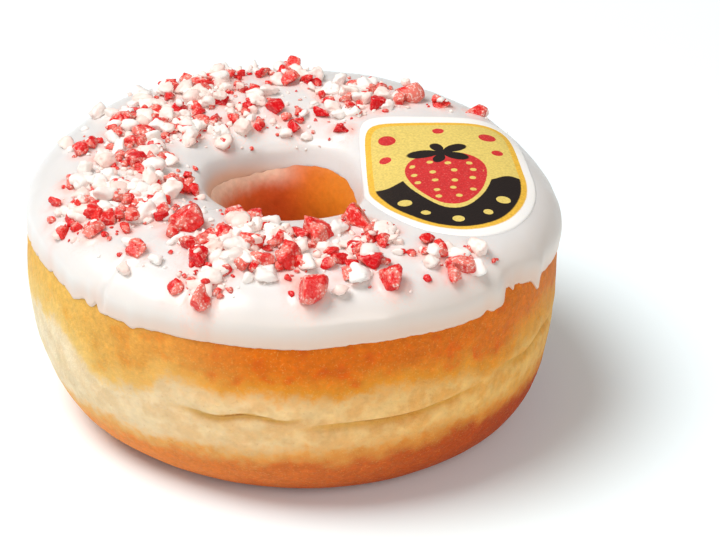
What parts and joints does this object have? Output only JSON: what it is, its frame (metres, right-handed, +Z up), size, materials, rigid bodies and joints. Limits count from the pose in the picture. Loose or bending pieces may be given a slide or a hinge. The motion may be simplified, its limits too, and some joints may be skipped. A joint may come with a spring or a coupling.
{
  "type": "iced ring doughnut",
  "caption": "Ring doughnut with a white icing cap, scattered strawberry and meringue pieces and a thin printed sugar plaque on top.",
  "frame": {"origin": "under the middle of the ring, at the height of the table it lies on", "axes": "+Z up through the hole, the sugar plaque towards +X, the side that faces the picture towards -Y"},
  "size_m": [0.0896, 0.0916, 0.0437],
  "materials": {
    "dough": "satin",
    "icing": "satin",
    "plaque": "matte",
    "strawberry": "matte",
    "meringue": "matte"
  },
  "bodies": {
    "root": {"dough": "dough", "icing": "icing", "sugar_plaque": "plaque"}
  },
  "joints": []
}
